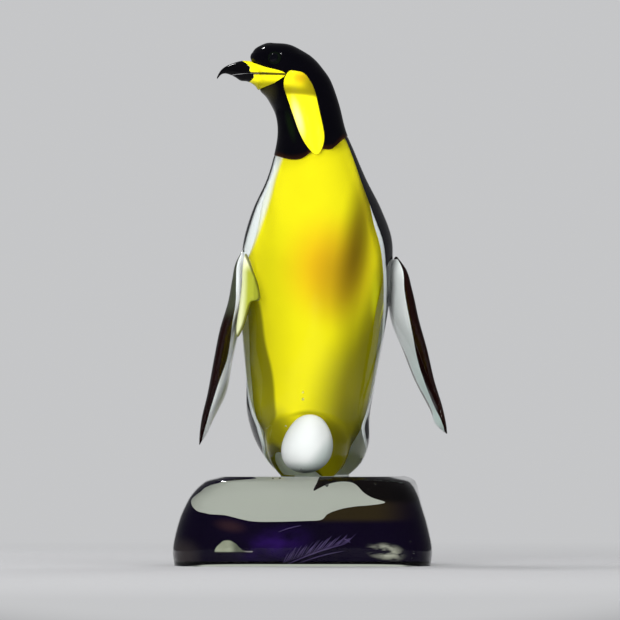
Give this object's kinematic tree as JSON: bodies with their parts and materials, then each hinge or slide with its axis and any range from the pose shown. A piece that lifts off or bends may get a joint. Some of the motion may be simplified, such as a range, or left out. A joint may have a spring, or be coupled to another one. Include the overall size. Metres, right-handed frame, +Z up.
{
  "type": "penguin figurine",
  "caption": "Solid glass emperor penguin with an egg at its feet, head turned to one side, fused onto a clear and violet glass block that rests on its flat underside.",
  "frame": {"origin": "middle of the flat underside of the glass block, on the surface that it rests on", "axes": "+Z up, -Y the side that the breast faces, +X to the right of the front view; the head looks to -X"},
  "size_m": [0.1572, 0.096, 0.3002],
  "materials": {
    "clear_glass": "polished",
    "violet_glass": "polished",
    "lilac_glass": "polished",
    "yellow_glass": "polished",
    "white_glass": "polished",
    "black_glass": "polished",
    "maroon_glass": "polished",
    "egg_glass": "polished",
    "eye_disc_glass": "polished"
  },
  "bodies": {
    "root": {"base_block_clear": "clear_glass", "base_core_violet": "violet_glass", "base_veil_lilac": "lilac_glass", "body_core_yellow": "yellow_glass", "body_casing_clear": "clear_glass", "back_lining_white": "white_glass", "back_coat_black": "black_glass", "head_black": "black_glass", "egg": "egg_glass", "egg_cover_clear": "clear_glass", "beak_upper_yellow": "yellow_glass", "beak_upper_tip": "black_glass", "beak_lower_yellow": "yellow_glass", "beak_lower_tip": "black_glass", "cheek_patch_left": "yellow_glass", "eye_disc_left": "eye_disc_glass", "eye_bead_left": "black_glass", "flipper_white_left": "white_glass", "flipper_dark_left": "maroon_glass", "flipper_root_left": "clear_glass", "cheek_patch_right": "yellow_glass", "eye_disc_right": "eye_disc_glass", "eye_bead_right": "black_glass", "flipper_white_right": "white_glass", "flipper_dark_right": "maroon_glass", "flipper_root_right": "clear_glass"}
  },
  "joints": []
}
